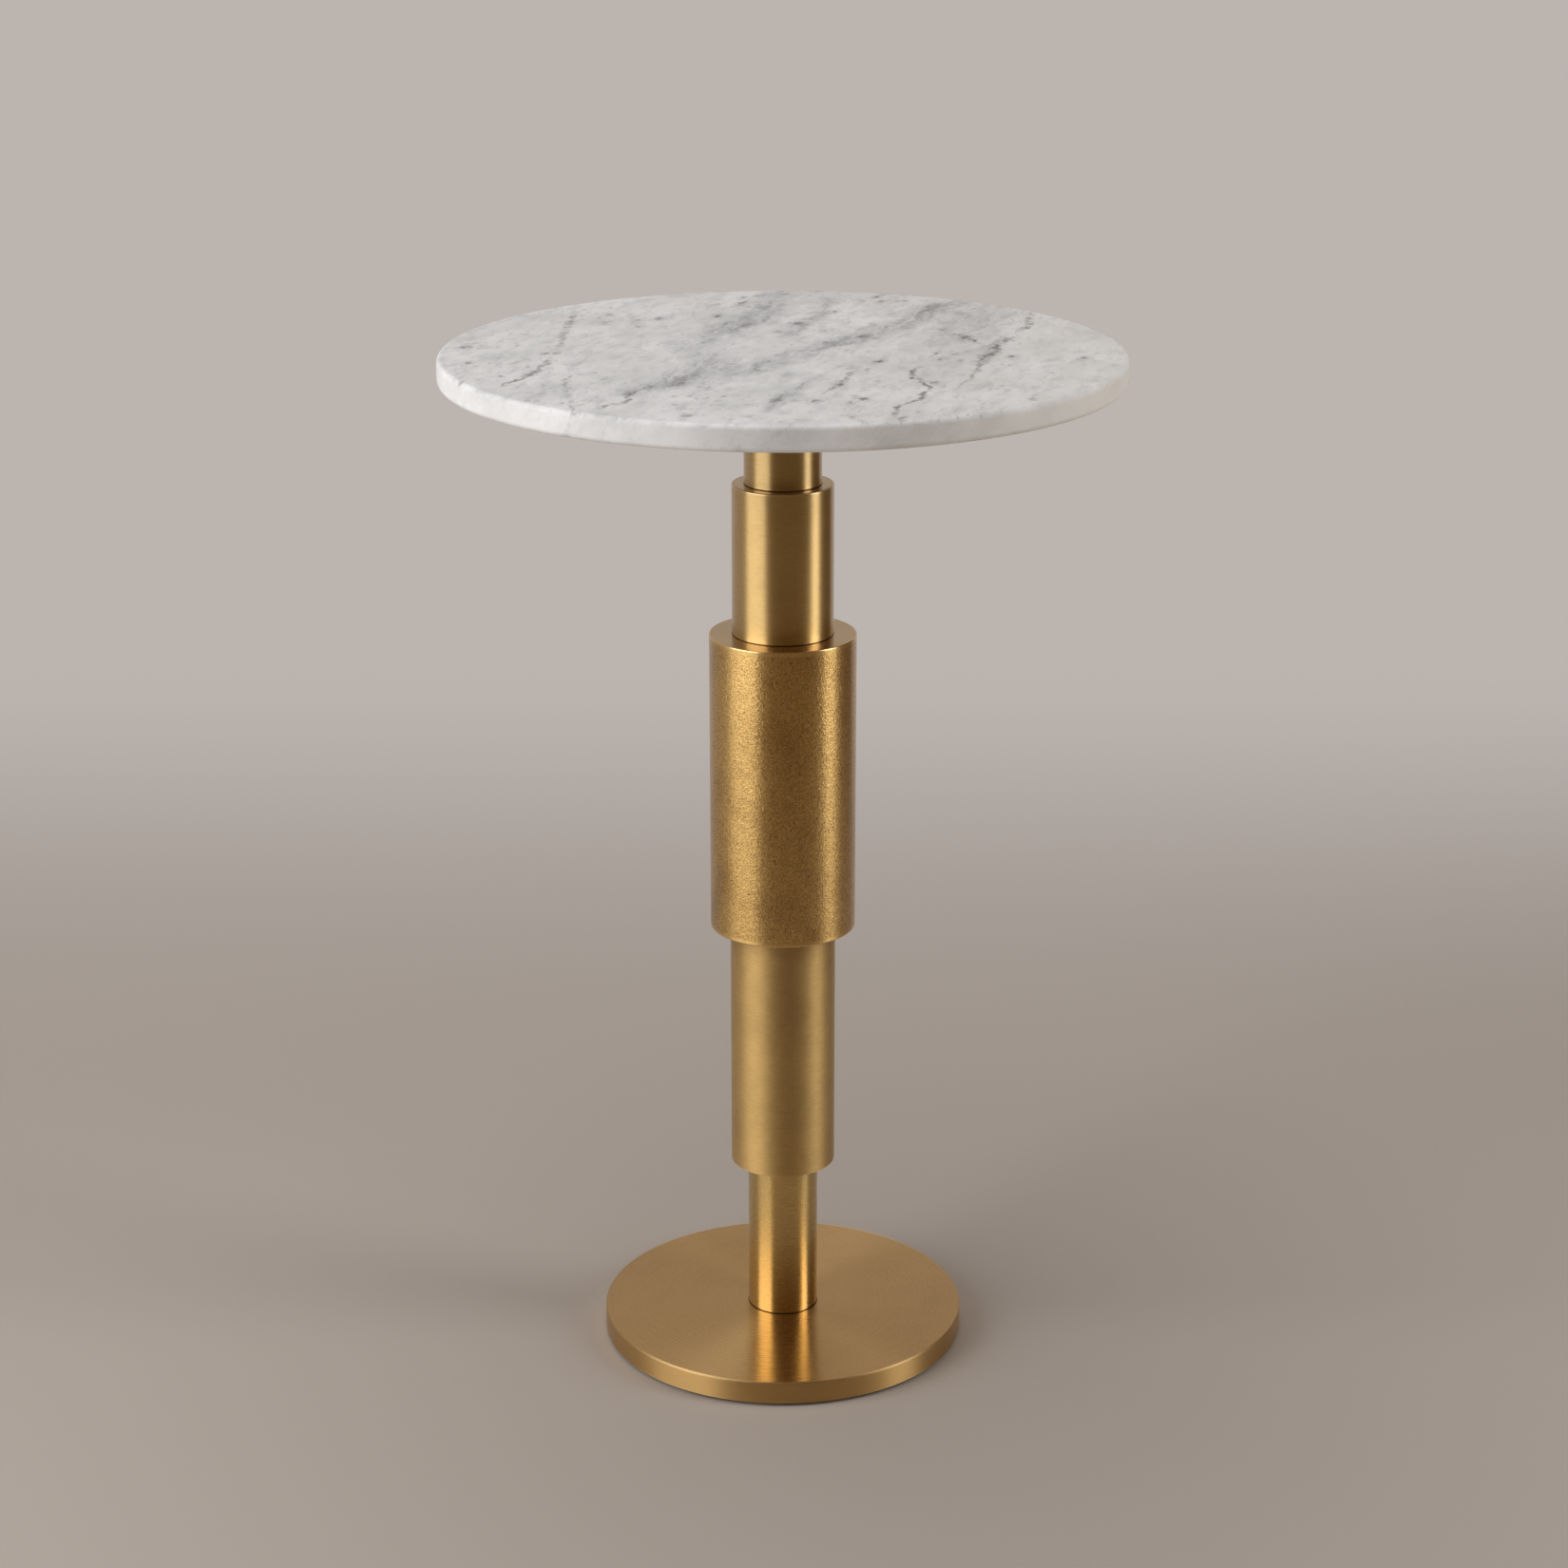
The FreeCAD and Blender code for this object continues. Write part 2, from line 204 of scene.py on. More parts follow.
def brassFinish(name, look):
    # lines: noise on (x / length, y / length, (z + radius) / width), rings on walls and flat faces alike
    material, tree, surface = newMaterial(name)
    place = addNode(tree, "TexCoord").outputs["Object"]
    flat = addNode(tree, "VectorMath", {0: place, 1: (1, 1, 0)}, operation="MULTIPLY")
    radius = addNode(tree, "VectorMath", {0: flat}, operation="LENGTH").outputs["Value"]
    height = addNode(tree, "SeparateXYZ", {0: place}).outputs["Z"]
    along = addNode(tree, "Math", {0: height, 1: radius}, operation="ADD")
    rise = addNode(tree, "CombineXYZ", {"Z": along})
    both = addNode(tree, "VectorMath", {0: flat, 1: rise}, operation="ADD")
    across, length = 1 / (look["lineWidth"] * mm), 1 / (look["lineLength"] * mm)
    stretched = addNode(tree, "VectorMath", {0: both, 1: (length, length, across)}, operation="MULTIPLY")
    lines = addNode(tree, "TexNoise", {"Vector": stretched, "Scale": 1.0, "Detail": 3.0, "Roughness": 0.6})
    cloud = addNode(tree, "TexNoise", {"Vector": place, "Scale": 1 / (look["tarnishSize"] * mm),
                                       "Detail": 5.0, "Roughness": 0.6})
    lineLow, lineHigh = look["lineLevels"]
    lineShade = addNode(tree, "MapRange", {"Value": lines, "From Min": lineLow, "From Max": lineHigh})
    colour = addNode(tree, "Mix", {0: lineShade, 6: linear(look["dark"]), 7: linear(look["light"])},
                     data_type="RGBA").outputs[2]
    tarnishLow, tarnishHigh = look["tarnishLevels"]
    tarnish = addNode(tree, "MapRange", {"Value": cloud, "From Min": tarnishLow, "From Max": tarnishHigh,
                                         "To Max": look["tarnishShare"]})
    # marks: a small dark dent in some of the cells of a Voronoi pattern
    dents = None
    for spacing, size, share, depth in look["marks"]:
        cells = addNode(tree, "TexVoronoi", {"Vector": place, "Scale": 1 / (spacing * mm)})
        chance = addNode(tree, "SeparateColor", {0: cells.outputs["Color"]}).outputs["Red"]
        chance = addNode(tree, "MapRange", {"Value": chance, "From Min": 1 - share, "From Max": 1.0,
                                            "To Max": depth})
        dent = addNode(tree, "MapRange", {"Value": cells.outputs["Distance"], "To Min": 1.0, "To Max": 0.0,
                                          "From Min": look["markCore"] * size / spacing,
                                          "From Max": size / spacing})
        dent = addNode(tree, "Math", {0: dent, 1: chance}, operation="MULTIPLY")
        dents = dent if dents is None else addNode(tree, "Math", {0: dents, 1: dent}, operation="MAXIMUM")
    if "rippleSize" in look:
        # the beating stops short of both ends
        gap = addNode(tree, "Math", {0: height, 1: look["middle"]}, operation="SUBTRACT")
        gap = addNode(tree, "Math", {0: gap}, operation="ABSOLUTE")
        plain, full = [look["reach"] - band * mm for band in look["plainBand"]]
        beaten = addNode(tree, "MapRange", {"Value": gap, "From Min": plain, "From Max": full})
        dents = addNode(tree, "Math", {0: dents, 1: beaten}, operation="MULTIPLY")
    tarnish = addNode(tree, "Math", {0: tarnish, 1: dents}, operation="MAXIMUM")
    if "rippleSize" in look:
        # the valleys between the ripples hold tarnish
        ripples = addNode(tree, "TexNoise", {"Vector": place, "Scale": 1 / (look["rippleSize"] * mm),
                                             "Detail": 0.0})
        crest, deep = look["rippleLevels"]
        valley = addNode(tree, "MapRange", {"Value": ripples, "From Min": crest, "From Max": deep,
                                            "To Max": look["rippleShade"]})
        valley = addNode(tree, "Math", {0: valley, 1: beaten}, operation="MULTIPLY")
        tarnish = addNode(tree, "Math", {0: tarnish, 1: valley}, operation="ADD", use_clamp=True)
    # painted highlight and shade: worn edges mix towards the palest colour, joints towards near black
    wearSheenShade = addNode(tree, "Attribute", attribute_name="wearSheenShade").outputs["Fac"]
    rubbedSheen = addNode(tree, "MapRange", {"Value": wearSheenShade, "To Max": look["rubbedSheenShare"]})
    jointShaded = addNode(tree, "MapRange", {"Value": wearSheenShade, "From Max": -1.0, "To Max": look["jointShadeShare"]})
    for share, key in ((tarnish, "tarnish"), (rubbedSheen, "rubbedSheenColour"), (jointShaded, "jointShade")):
        colour = addNode(tree, "Mix", {0: share, 6: colour, 7: linear(look[key])},
                         data_type="RGBA").outputs[2]
    low, high = look["roughness"]
    rough = addNode(tree, "MapRange", {"Value": lines, "From Min": lineLow, "From Max": lineHigh,
                                       "To Min": high, "To Max": low})
    rough = addNode(tree, "Math", {0: wearSheenShade, 1: look["edgeRough"], 2: rough}, operation="MULTIPLY_ADD")
    if "rimBand" in look:
        rimStart, rimEnd = look["rimBand"]
        rim = addNode(tree, "MapRange", {"Value": radius, "From Min": rimStart * mm,
                                         "From Max": rimEnd * mm, "To Max": look["rimRough"]})
        rough = addNode(tree, "Math", {0: rough, 1: rim}, operation="ADD")
    relief = addNode(tree, "Bump", {"Height": lines, "Distance": look["bump"] * mm})
    if "rippleSize" in look:
        relief = addNode(tree, "Bump", {"Height": ripples, "Normal": relief, "Strength": beaten,
                                        "Distance": look["rippleDepth"] * mm})
        relief = addNode(tree, "Bump", {"Height": dents, "Normal": relief,
                                        "Distance": look["dentDepth"] * mm}, invert=True)
    tangent = addNode(tree, "Tangent", direction_type="UV_MAP", uv_map="lathe")
    metal = addNode(tree, "BsdfPrincipled", {
        "Base Color": colour, "Metallic": 1.0, "Roughness": rough, "Anisotropic": look["anisotropy"],
        "Tangent": tangent, "Normal": relief, "Coat Weight": look["lacquer"],
        "Coat Roughness": look["lacquerRoughness"], "Coat Normal": relief})
    tree.links.new(metal.outputs[0], surface)
    return material


# Honed white marble: calcite with grey graphite drawn out along its bedding into clouds, smudges, broken
# veins and flecks; a soft low gloss, and the body colour shows more than any reflection

# lengths are in mm, the bedding's angle in degrees, and depths count down from the top face
marbleLook = dict(
    white="#F1EEE9", pale="#DAD8D2", grey="#888886", dark="#4A4745", cream="#E6DBC8", bedding=75.0,
    topZ=624.0, lean=0.35, warpSize=20.0, warp=5.0, fineWarp=3.2, fineShare=0.25, haloReach=2.5,
    streaks=(0.24, 0.80), smudgeShare=0.30, haloShare=0.30, veinShare=0.22, patchShare=0.55,
    dashShare=0.55, grainShare=0.25, fadeDepth=(-1.0, -3.5), fadeTo=0.3, stainSide=(20.0, 190.0),
    stainDepth=(-1.0, -4.0), stainShare=(0.15, 0.6), roughness=(0.54, 0.62), ior=1.5)

# clouds and veins: spots are (along the bedding, across it, strength) and width is half the width, in mm
# on the top face, in the frame that the bedding's angle turns from X
marbleClouds = [
    dict(width=24.0, spots=[
        (-150, 46, 0.0), (-126, 44, 0.5), (-98, 36, 1.0), (-65, 29, 0.9), (-36, 34, 0.6),
        (5, 54, 0.4), (65, 48, 1.0), (107, 44, 0.7), (173, 51, 0.6), (198, 52, 0.3)]),
    dict(width=20.0, spots=[
        (-100, 20, 0.3), (-60, 8, 0.7), (-24, -6, 0.8), (15, -17, 0.8), (36, -27, 1.0),
        (72, -38, 0.7), (118, -53, 1.0), (144, -56, 1.0), (182, -60, 0.5), (198, -61, 0.3)]),
    dict(width=36.0, spots=[
        (-60, -100, 0.0), (0, -96, 0.3), (60, -94, 0.5), (100, -90, 0.6), (150, -85, 0.5),
        (190, -85, 0.3)]),
    dict(width=9.0, spots=[
        (-170, -32, 0.0), (-156, -32, 0.6), (-137, -32, 0.8), (-109, -34, 0.8), (-80, -36, 0.6),
        (-55, -38, 0.0)]),
    dict(width=9.0, spots=[
        (35, 10, 0.0), (54, 10, 0.5), (102, 7, 0.7), (152, 13, 0.6), (185, 15, 0.2)]),
]
marbleVeins = [
    dict(width=3.0, spots=[
        (-155, -101, 0.0), (-147, -101, 0.7), (-127, -98, 1.0), (-108, -106, 0.8), (-85, -106, 0.8),
        (-67, -99, 1.0), (-51, -88, 0.9), (-29, -86, 0.6), (-18, -86, 0.0)]),
    dict(width=6.0, spots=[
        (-12, -118, 0.0), (-4, -118, 0.7), (19, -118, 1.0), (47, -116, 1.0), (71, -118, 0.7),
        (82, -118, 0.0)]),
    dict(width=2.2, spots=[
        (-80, -119, 0.0), (-66, -119, 0.5), (-30, -121, 0.6), (0, -119, 0.5), (12, -118, 0.0)]),
    dict(width=5.0, spots=[
        (50, -106, 0.0), (58, -101, 0.9), (66, -95, 1.0), (73, -89, 0.9), (80, -86, 0.0)]),
    dict(width=3.4, spots=[
        (-138, 125, 0.0), (-128, 124, 0.9), (-107, 120, 1.0), (-92, 119, 0.6), (-34, 126, 0.4),
        (15, 138, 0.5), (68, 151, 0.6), (82, 153, 0.0)]),
    dict(width=3.2, spots=[
        (-180, 54, 0.0), (-173, 54, 1.0), (-157, 47, 0.8), (-137, 49, 0.9), (-121, 46, 0.7),
        (-110, 44, 0.0)]),
    dict(width=2.6, spots=[
        (-192, 66, 0.0), (-183, 67, 0.4), (-146, 83, 0.5), (-108, 95, 0.5), (-92, 98, 0.0)]),
    dict(width=3.4, spots=[
        (92, -121, 0.0), (100, -121, 0.6), (135, -119, 0.7), (150, -117, 0.5), (162, -116, 0.0)]),
    dict(width=3.0, spots=[
        (-112, -52, 0.0), (-99, -52, 0.5), (-82, -55, 1.0), (-61, -54, 0.5), (-37, -54, 0.6),
        (-25, -54, 0.0)]),
]
marbleNoise = [  # name, spacing along and across the bedding in mm, detail, darkest and palest level
    ("haze", 80, 45, 4.0, 0.34, 0.66),
    ("smudge", 24, 9, 5.0, 0.48, 0.72),
    ("streak", 34, 5, 5.0, 0.36, 0.66),
    ("cluster", 60, 45, 2.0, 0.38, 0.56),
    ("broken", 7, 3.5, 4.0, 0.42, 0.60),
    ("dash", 13, 3.0, 3.0, 0.54, 0.70),
    ("grain", 1.6, 1.0, 2.0, 0.25, 0.75),
]
freeFlecks = [  # spacing along and across the bedding in mm, size in spacings, strength
    (30, 16, 0.22, 1.0), (18, 9, 0.20, 0.7),
]
markedFlecks = [  # x, y and length in mm, strength
    (33, 124, 9, 0.9), (-39, 110, 10, 1.0), (-24, 173, 9, 0.8), (58, 174, 10, 0.9), (54, -30, 12, 1.0),
    (133, -16, 10, 1.0), (88, -5, 9, 0.8), (89, -23, 9, 0.7), (32, -93, 11, 0.9), (43, -132, 12, 1.0),
    (18, -137, 11, 0.9), (-84, -118, 10, 0.9), (-137, -5, 8, 0.8), (-180, -32, 9, 0.8), (-157, -71, 7, 0.8),
]


def drawnVeins(tree, along, across, veins):
    # the greatest of the veins, each strength(along) times a smooth fall of |across - centre(along)| over
    # its width
    reach = 400.0  # the curves map -200 to 200 mm on 0 to 1
    share = addNode(tree, "MapRange", {"Value": along, "From Min": -reach / 2, "From Max": reach / 2})
    total = None
    for vein in veins:
        centre = addNode(tree, "FloatCurve", {"Value": share})
        setCurve(centre, [(u / reach + 0.5, w / reach + 0.5) for u, w, s in vein["spots"]])
        strength = addNode(tree, "FloatCurve", {"Value": share})
        setCurve(strength, [(u / reach + 0.5, s) for u, w, s in vein["spots"]])
        line = addNode(tree, "MapRange", {"Value": centre, "To Min": -reach / 2, "To Max": reach / 2})
        gap = addNode(tree, "Math", {0: across, 1: line}, operation="SUBTRACT")
        gap = addNode(tree, "Math", {0: gap}, operation="ABSOLUTE")
        shade = addNode(tree, "MapRange", {"Value": gap, "From Max": vein["width"], "To Min": 1.0,
                                           "To Max": 0.0}, interpolation_type="SMOOTHSTEP")
        shade = addNode(tree, "Math", {0: shade, 1: strength}, operation="MULTIPLY")
        total = shade if total is None else addNode(tree, "Math", {0: total, 1: shade}, operation="MAXIMUM")
    return total


def honedMarble(name, look):
    material, tree, surface = newMaterial(name)
    place = addNode(tree, "TexCoord").outputs["Object"]
    turned = addNode(tree, "Mapping", {"Vector": place, "Scale": (1 / mm,) * 3,
                                       "Rotation": (0, 0, -math.radians(look["bedding"])),
                                       "Location": (0, 0, -look["topZ"])})
    # the bedding leans, so that a vein crosses the rim at a slant
    depth = addNode(tree, "SeparateXYZ", {0: turned}).outputs["Z"]
    slant = addNode(tree, "Math", {0: depth, 1: look["lean"]}, operation="MULTIPLY")
    shift = addNode(tree, "CombineXYZ", {"X": slant, "Y": slant})
    leaning = addNode(tree, "VectorMath", {0: turned, 1: shift}, operation="ADD")
    # two scales of warp make the veins wander
    warped = leaning
    fineSize = look["warpSize"] * look["fineShare"]
    for size, reach in ((look["warpSize"], look["warp"]), (fineSize, look["fineWarp"])):
        drift = addNode(tree, "TexNoise", {"Vector": leaning, "Scale": 1 / size, "Detail": 3.0})
        drift = addNode(tree, "VectorMath", {0: drift.outputs["Color"], 1: (-0.5,) * 3}, operation="ADD")
        drift = addNode(tree, "VectorMath", {0: drift, "Scale": 2 * reach}, operation="SCALE")
        warped = addNode(tree, "VectorMath", {0: warped, 1: drift}, operation="ADD")
    parts = addNode(tree, "SeparateXYZ", {0: warped})
    along, across = parts.outputs["X"], parts.outputs["Y"]
    shade = {}
    for key, spacingAlong, spacingAcross, detail, low, high in marbleNoise:
        spacing = (spacingAlong, spacingAcross, spacingAcross)
        vector = addNode(tree, "VectorMath", {0: warped, 1: spacing}, operation="DIVIDE")
        noise = addNode(tree, "TexNoise", {"Vector": vector, "Scale": 1.0, "Detail": detail,
                                           "Roughness": 0.6})
        shade[key] = addNode(tree, "MapRange", {"Value": noise, "From Min": low, "From Max": high})
    # flecks: a dark core with a soft halo, in each cell of a Voronoi pattern drawn out along the bedding
    # and round each marked spot
    rings = []
    for spacingAlong, spacingAcross, size, strength in freeFlecks:
        spacing = (spacingAlong, spacingAcross, spacingAcross)
        vector = addNode(tree, "VectorMath", {0: warped, 1: spacing}, operation="DIVIDE")
        cells = addNode(tree, "TexVoronoi", {"Vector": vector, "Scale": 1.0})
        chance = addNode(tree, "SeparateColor", {0: cells.outputs["Color"]}).outputs["Red"]
        chance = addNode(tree, "Math", {0: chance, 1: shade["cluster"]}, operation="MULTIPLY")
        rings.append((cells.outputs["Distance"], size, chance, strength))
    turn = math.radians(look["bedding"])
    for x, y, length, strength in markedFlecks:
        spot = (x * math.cos(turn) + y * math.sin(turn), y * math.cos(turn) - x * math.sin(turn), 0)
        offset = addNode(tree, "VectorMath", {0: warped, 1: spot}, operation="SUBTRACT")
        size = (length / 2, length / 4, length)
        offset = addNode(tree, "VectorMath", {0: offset, 1: size}, operation="DIVIDE")
        distance = addNode(tree, "VectorMath", {0: offset}, operation="LENGTH").outputs["Value"]
        rings.append((distance, 1.0, 1.0, strength))
    flecks = []
    for spread in (1.0, look["haloReach"]):
        total = None
        for distance, size, chance, strength in rings:
            fleck = addNode(tree, "MapRange", {"Value": distance, "From Max": spread * size,
                                               "To Min": strength, "To Max": 0.0})
            fleck = addNode(tree, "Math", {0: fleck, 1: chance}, operation="MULTIPLY")
            if total:
                fleck = addNode(tree, "Math", {0: total, 1: fleck}, operation="MAXIMUM")
            total = fleck
        flecks.append(total)
    cores, halos = flecks
    # greys: the drawn clouds carry the streaks, free smudges and the halos fill the rest
    band = drawnVeins(tree, along, across, marbleClouds)
    vein = drawnVeins(tree, along, across, marbleVeins)
    thin, thick = look["streaks"]
    streaks = addNode(tree, "MapRange", {"Value": shade["streak"], "To Min": thin, "To Max": thick})
    grey = addNode(tree, "Math", {0: band, 1: streaks}, operation="MULTIPLY")
    for part, key in ((shade["smudge"], "smudgeShare"), (halos, "haloShare"), (vein, "veinShare")):
        grey = addNode(tree, "Math", {0: part, 1: look[key], 2: grey}, operation="MULTIPLY_ADD",
                       use_clamp=True)
    # darks: the veins as chains of short dashes, the flecks' cores, and finer dashes in the clouds and in
    # free patches
    dark = addNode(tree, "Math", {0: vein, 1: shade["broken"]}, operation="MULTIPLY")
    dark = addNode(tree, "Math", {0: dark, 1: cores}, operation="MAXIMUM")
    patches = addNode(tree, "Math", {0: shade["cluster"], 1: look["patchShare"]}, operation="MULTIPLY")
    patches = addNode(tree, "Math", {0: patches, 1: band}, operation="MAXIMUM")
    dashes = addNode(tree, "Math", {0: patches, 1: shade["dash"]}, operation="MULTIPLY")
    dark = addNode(tree, "Math", {0: dashes, 1: look["dashShare"], 2: dark}, operation="MULTIPLY_ADD",
                   use_clamp=True)
    # the sawn rim shows less of both
    shallow, deep = look["fadeDepth"]
    fade = addNode(tree, "MapRange", {"Value": depth, "From Min": shallow, "From Max": deep,
                                      "To Min": 1.0, "To Max": look["fadeTo"]})
    grey = addNode(tree, "Math", {0: grey, 1: fade}, operation="MULTIPLY")
    dark = addNode(tree, "Math", {0: dark, 1: fade}, operation="MULTIPLY")
    haze = addNode(tree, "Math", {0: shade["grain"], 1: look["grainShare"], 2: shade["haze"]},
                   operation="MULTIPLY_ADD")
    # iron stains the sawn rim a warm cream on one side, and the top a little beside it
    side = addNode(tree, "SeparateXYZ", {0: place}).outputs["X"]
    start, end = look["stainSide"]
    warm = addNode(tree, "MapRange", {"Value": side, "From Min": start * mm, "From Max": end * mm})
    (shallow, deep), (least, most) = look["stainDepth"], look["stainShare"]
    rim = addNode(tree, "MapRange", {"Value": depth, "From Min": shallow, "From Max": deep,
                                     "To Min": least, "To Max": most})
    warm = addNode(tree, "Math", {0: warm, 1: rim}, operation="MULTIPLY")
    colour = linear(look["pale"])
    for share, key in ((haze, "white"), (grey, "grey"), (dark, "dark"), (warm, "cream")):
        colour = addNode(tree, "Mix", {0: share, 6: colour, 7: linear(look[key])},
                         data_type="RGBA").outputs[2]
    low, high = look["roughness"]
    rough = addNode(tree, "MapRange", {"Value": grey, "To Min": low, "To Max": high})
    stone = addNode(tree, "BsdfPrincipled", {"Base Color": colour, "Roughness": rough, "IOR": look["ior"]})
    tree.links.new(stone.outputs[0], surface)
    return material


# Hardware finishes: zinc plate on steel, black powder coat, rubber sheet and turned brass. Each is a
# colour mottled by noise of its own grain size, with the same noise as a fine relief

hardwareLooks = {
    "zincPlatedSteel": dict(
        light="#C6C8C9", dark="#9DA0A3", metallic=1.0, roughness=(0.28, 0.42), grain=1.2, bump=0.010),
    "blackPowderCoat": dict(
        light="#1E1E1F", dark="#131314", metallic=0.0, roughness=(0.42, 0.55), grain=0.8, bump=0.030),
    "blackRubberSheet": dict(
        light="#2A2928", dark="#1D1C1B", metallic=0.0, roughness=(0.70, 0.85), grain=1.5, bump=0.040),
    "turnedInsertBrass": dict(
        light="#D8B777", dark="#B8924E", metallic=1.0, roughness=(0.25, 0.38), grain=1.0, bump=0.010),
}


def hardwareFinish(name, look):
    material, tree, surface = newMaterial(name)
    place = addNode(tree, "TexCoord").outputs["Object"]
    grain = addNode(tree, "TexNoise", {"Vector": place, "Scale": 1 / (look["grain"] * mm), "Detail": 4.0})
    colour = addNode(tree, "Mix", {0: grain, 6: linear(look["dark"]), 7: linear(look["light"])},
                     data_type="RGBA").outputs[2]
    low, high = look["roughness"]
    rough = addNode(tree, "MapRange", {"Value": grain, "To Min": low, "To Max": high})
    relief = addNode(tree, "Bump", {"Height": grain, "Distance": look["bump"] * mm})
    coat = addNode(tree, "BsdfPrincipled", {"Base Color": colour, "Metallic": look["metallic"],
                                            "Roughness": rough, "Normal": relief})
    tree.links.new(coat.outputs[0], surface)
    return material


brushedBrass = brassFinish("brushedAgedBrass", brushedLook)
mattBrass = brassFinish("mattBrushedBrass", mattLook)
brightBrass = brassFinish("brightBrushedBrass", brightLook)
polishedBrass = brassFinish("polishedAgedBrass", polishedLook)
turnedBrass = brassFinish("turnedAgedBrass", turnedLook)
hammeredBrass = brassFinish("hammeredAgedBrass", hammeredLook)
whiteMarble = honedMarble("honedWhiteMarble", marbleLook)
hardware = {name: hardwareFinish(name, look) for name, look in hardwareLooks.items()}
print("finishes made: brass, marble and", len(hardware), "for the hardware")


# Marble top: a disc with both rims rounded

marbleTop = dict(arris=3.0 * mm, segments=360, eye=2 * mm)


def makeMarbleTop():
    # outline from the middle of the underside round the rim to the middle of the top
    outer, bottom, top = spanOf("marble_top")[1:]
    eye, arris = marbleTop["eye"], marbleTop["arris"]
    corners = [(eye, bottom), (outer, bottom, arris), (outer, top, arris), (eye, top)]
    outline = roundedOutline(corners, arcSteps=9)
    lathePiece("marbleTop", "marble_top", whiteMarble, outline, marbleTop["segments"],
               capped=True)


makeMarbleTop()
print("marble top made")


# Column: plain tubes, each with the caps let into its ends

# a ring of painted shade, half a millimetre wide, lies round each tube that stands on a cap or the foot
column = dict(edge=0.6 * mm, foot=0.8 * mm, jointShadeRing=0.5 * mm, slip=0.1 * mm, capPlay=0.01 * mm,
              segments=200)
tubes = [  # name, CAD node, finish, cap above, cap below
    ("neckTube", "neck_tube", brushedBrass, None, None),
    ("upperSleeve", "upper_sleeve_tube", brushedBrass, "upper_sleeve_cap", None),
    ("lowerSleeve", "lower_sleeve_tube", mattBrass, None, "lower_sleeve_cap"),
    ("stemTube", "stem_tube", brightBrass, None, None),
]
caps = [  # name, CAD node, tube that it closes, tube that stands on its spigot, side that it faces
    ("upperSleeveCap", "upper_sleeve_cap", "upper_sleeve_tube", "neck_tube", 1),
    ("drumTopCap", "drum_top_cap", "drum_shell", "upper_sleeve_tube", 1),
    ("drumBottomCap", "drum_bottom_cap", "drum_shell", "lower_sleeve_tube", -1),
    ("lowerSleeveCap", "lower_sleeve_cap", "lower_sleeve_tube", "stem_tube", -1),
]


def tubeOutline(node, capAbove, capBelow, wallRows=()):
    # a tube's section from its lower end, up the outer wall, and down the bore, rebated for its caps; an
    # end without a cap meets the next piece, and its rounded edge goes from painted shade in the joint to a
    # worn edge painted lighter as a highlight
    bore, outer, bottom, top = spanOf(node)
    edge = column["edge"]
    lowEdge = (outer, bottom, edge) if capBelow else (outer, bottom, column["foot"], (-1, 1))
    highEdge = (outer, top, edge) if capAbove else (outer, top, column["foot"], (1, -1))
    corners = [lowEdge, *[(outer, z) for z in wallRows], highEdge]
    if capAbove:
        seat, floor = spanOf(capAbove)[1] + column["slip"], spanOf(capAbove)[2]
        corners += [(seat, top), (seat, floor), (bore, floor)]
    else:
        corners += [(bore, top)]
    if capBelow:
        seat, ceiling = spanOf(capBelow)[1] + column["slip"], spanOf(capBelow)[3]
        corners += [(bore, ceiling), (seat, ceiling), (seat, bottom)]
    else:
        corners += [(bore, bottom)]
    return roundedOutline(corners)


def capOutline(node, tube, nextTube, side):
    # a cap's section: a disc let into its tube, flush with the end, and a spigot beyond that end; a ring
    # of painted shade lies round the tube that stands on it
    hole, rim, low, high = spanOf(node)
    rim += column["slip"] - column["capPlay"]
    spigot, standing = spanOf(nextTube)[0] - column["slip"], spanOf(nextTube)[1]
    ring = [(standing + column["jointShadeRing"], 0), (standing + column["jointShadeRing"] / 2, -1), (spigot, -1)]
    face = spanOf(tube)[3] if side > 0 else spanOf(tube)[2]
    back, tip = (low, high) if side > 0 else (high, low)
    corners = [(hole, back), (rim, back), (rim, face), *[(r, face, 0, rubSheenShade) for r, rubSheenShade in ring],
               (spigot, tip), (hole, tip)]
    return roundedOutline(corners[::side])


for name, node, finish, capAbove, capBelow in tubes:
    outline = tubeOutline(node, capAbove, capBelow)
    lathePiece(name, node, finish, outline, column["segments"])
for name, node, tube, nextTube, side in caps:
    outline = capOutline(node, tube, nextTube, side)
    lathePiece(name, node, polishedBrass, outline, column["segments"])
print("column:", len(tubes), "tubes,", len(caps), "caps")


# Drum: a tube beaten all over with a fine punch

# bowlReach is in cells, lobes are waves round the drum and rate is the spread of their twist per metre
drum = dict(cell=2.4 * mm, depth=0.05 * mm, bowlReach=0.8, wave=0.04 * mm, waves=14, lobes=(2, 12),
            rate=160, margin=1.6 * mm, plainShare=0.5, pitch=0.75 * mm, seed=7)


def nearestMark(around, along, girth, length, cell, seed):
    # distance, in cells, from each point to the nearest of one jittered mark per cell; the cells close
    # round the drum
    columns, rows = round(girth / cell), math.ceil(length / cell) + 2
    jitter = np.random.default_rng(seed).random((rows, columns, 2))
    u, v = around / girth * columns, along / cell + 1
    nearest = np.full(u.shape, np.inf)
    for stepU in (-1, 0, 1):
        for stepV in (-1, 0, 1):
            cellU, cellV = np.floor(u) + stepU, np.clip(np.floor(v) + stepV, 0, rows - 1)
            mark = jitter[cellV.astype(int), cellU.astype(int) % columns]
            nearest = np.minimum(nearest, np.hypot(cellU + mark[..., 0] - u, cellV + mark[..., 1] - v))
    return nearest


